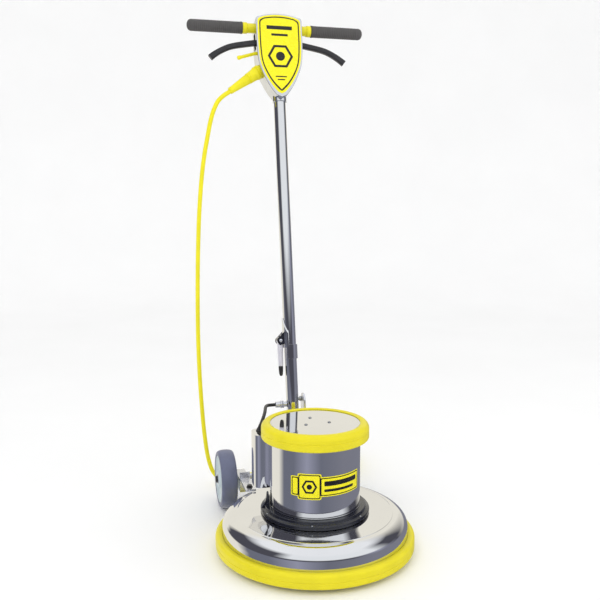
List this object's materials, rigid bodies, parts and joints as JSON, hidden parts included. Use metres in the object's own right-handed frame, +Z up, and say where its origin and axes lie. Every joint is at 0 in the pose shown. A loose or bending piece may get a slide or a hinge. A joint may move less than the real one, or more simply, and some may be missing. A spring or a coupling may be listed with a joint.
{
  "type": "rotary floor machine",
  "caption": "Single-disc floor machine with a drum motor on a round chromed apron, ringed by bumpers, a tall tube handle with squeeze levers, transport wheels and a coiled supply cord.",
  "frame": {"origin": "on the floor, at the middle of the pad's lower face, on the axis that the brush spins about", "axes": "+Z up along the spin axis; -Y to the front of the machine, away from the handle; +X to the right seen from the front"},
  "size_m": [0.508, 0.9025, 1.2988],
  "materials": {
    "chrome_plate": "polished chrome plate",
    "zinc_steel": "zinc plated steel",
    "cast_alloy": "polished cast alloy",
    "black_enamel": "glossy black enamel on iron",
    "gear_steel": "machined steel",
    "stator_iron": "laminated iron with varnished copper wire",
    "yellow_rubber": "smooth yellow rubber",
    "yellow_jacket": "yellow cable jacket and moulded relief",
    "yellow_plastic": "yellow moulding",
    "yellow_paint": "gloss yellow paint on steel",
    "yellow_film": "printed yellow film",
    "grip_rubber": "matte grey grip",
    "wheel_tread": "non-marking grey tread",
    "wheel_plastic": "pale grey moulding",
    "black_plastic": "black moulding",
    "black_jacket": "black cable jacket",
    "pad_fibre": "open non-woven pad"
  },
  "bodies": {
    "base": {"apron": "chrome_plate", "lower_bumper": "yellow_rubber", "gearcase": "black_enamel", "ring_gear": "gear_steel", "output_bearing": "gear_steel", "motor_cover": "chrome_plate", "motor_top_plate": "chrome_plate", "upper_bumper": "yellow_rubber", "motor_stator": "stator_iron", "end_bell_lower": "cast_alloy", "end_bell_upper": "cast_alloy", "motor_bearing_lower": "gear_steel", "motor_bearing_upper": "gear_steel", "motor_badge": "yellow_film", "capacitor_cover": "chrome_plate", "start_capacitor": "black_plastic", "yoke_bracket": "zinc_steel", "pivot_bolt": "zinc_steel", "axle": "zinc_steel", "axle_bracket_left": "chrome_plate", "axle_bracket_right": "chrome_plate", "motor_lead": "black_jacket", "power_cord": "yellow_jacket", "cord_coil": "yellow_jacket", "cord_tie": "black_plastic", "cord_tail": "yellow_jacket", "plug": "black_plastic"},
    "brush_drive": {"floor_pad": "pad_fibre", "pad_driver": "black_plastic", "clutch_plate": "cast_alloy", "planet_carrier": "gear_steel"},
    "rotor": {"motor_shaft": "gear_steel", "motor_rotor": "gear_steel"},
    "planet_1": {"planet_gear_1": "gear_steel"},
    "planet_2": {"planet_gear_2": "gear_steel"},
    "planet_3": {"planet_gear_3": "gear_steel"},
    "wheel_left": {"wheel_hub_left": "wheel_plastic", "tyre_left": "wheel_tread"},
    "wheel_right": {"wheel_hub_right": "wheel_plastic", "tyre_right": "wheel_tread"},
    "handle": {"handle_foot": "cast_alloy", "handle_tube": "chrome_plate", "release_bracket": "zinc_steel", "switch_housing": "cast_alloy", "switch_cover_plate": "cast_alloy", "face_label": "yellow_film", "switch_plate": "zinc_steel", "power_switch": "black_plastic", "handle_bar": "yellow_paint", "grip_left": "grip_rubber", "grip_right": "grip_rubber", "cord_gland": "yellow_plastic", "strain_relief": "yellow_jacket", "lead_gland": "zinc_steel"},
    "lock_plunger": {"lock_plunger": "gear_steel"},
    "release_lever": {"release_lever": "zinc_steel", "release_lever_tip": "black_plastic"},
    "squeeze_lever_left": {"squeeze_lever_left": "black_plastic"},
    "squeeze_lever_right": {"squeeze_lever_right": "black_plastic"},
    "safety_lock_pin": {"safety_lock_pin": "yellow_plastic"}
  },
  "joints": [
    {"name": "brush_spin", "type": "hinge", "parent": "base", "child": "brush_drive", "pos_m": [0, 0, 0.05], "axis": [0, 0, 1], "continuous": true},
    {"name": "rotor_spin", "type": "hinge", "parent": "base", "child": "rotor", "pos_m": [0, 0, 0.15], "axis": [0, 0, 1], "continuous": true},
    {"name": "planet_spin_1", "type": "hinge", "parent": "brush_drive", "child": "planet_1", "pos_m": [0, 0.045, 0.079], "axis": [0, 0, 1], "continuous": true},
    {"name": "planet_spin_2", "type": "hinge", "parent": "brush_drive", "child": "planet_2", "pos_m": [-0.03897, -0.0225, 0.079], "axis": [0, 0, 1], "continuous": true},
    {"name": "planet_spin_3", "type": "hinge", "parent": "brush_drive", "child": "planet_3", "pos_m": [0.03897, -0.0225, 0.079], "axis": [0, 0, 1], "continuous": true},
    {"name": "handle_tilt", "type": "hinge", "parent": "base", "child": "handle", "pos_m": [0, 0.19259, 0.12793], "axis": [-1, 0, 0], "range_deg": [0, 50]},
    {"name": "wheel_spin_left", "type": "hinge", "parent": "base", "child": "wheel_left", "pos_m": [-0.166, 0.2905, 0.077], "axis": [1, 0, 0], "continuous": true},
    {"name": "wheel_spin_right", "type": "hinge", "parent": "base", "child": "wheel_right", "pos_m": [0.166, 0.2905, 0.077], "axis": [1, 0, 0], "continuous": true},
    {"name": "release_lever_swing", "type": "hinge", "parent": "handle", "child": "release_lever", "pos_m": [-0.0268, 0.25084, 0.45072], "axis": [0, 0.9841, -0.1776], "range_deg": [0, 25], "stiffness_Nm_per_rad": 0.4, "springref_deg": -5.73},
    {"name": "lock_plunger_slide", "type": "slide", "parent": "handle", "child": "lock_plunger", "axis": [1, 0, 0], "range_m": [-0.003, 0]},
    {"name": "squeeze_left", "type": "hinge", "parent": "handle", "child": "squeeze_lever_left", "pos_m": [-0.046, 0.39026, 1.22324], "axis": [0, 0.9841, -0.1776], "range_deg": [0, 14], "stiffness_Nm_per_rad": 0.6, "springref_deg": -8.59},
    {"name": "squeeze_right", "type": "hinge", "parent": "handle", "child": "squeeze_lever_right", "pos_m": [0.046, 0.39026, 1.22324], "axis": [0, -0.9841, 0.1776], "range_deg": [0, 14], "stiffness_Nm_per_rad": 0.6, "springref_deg": -8.59},
    {"name": "lock_pin_push", "type": "slide", "parent": "handle", "child": "safety_lock_pin", "axis": [0.957, 0.0515, 0.2854], "range_m": [0, 0.008], "stiffness_N_per_m": 300, "springref_m": -0.002}
  ],
  "couplings": [
    {"joint": "rotor_spin", "follows": "brush_spin", "ratio": 10},
    {"joint": "planet_spin_1", "follows": "brush_spin", "ratio": -2.25},
    {"joint": "planet_spin_2", "follows": "brush_spin", "ratio": -2.25},
    {"joint": "planet_spin_3", "follows": "brush_spin", "ratio": -2.25},
    {"joint": "lock_plunger_slide", "follows": "release_lever_swing", "m_per_rad": -0.00687}
  ]
}
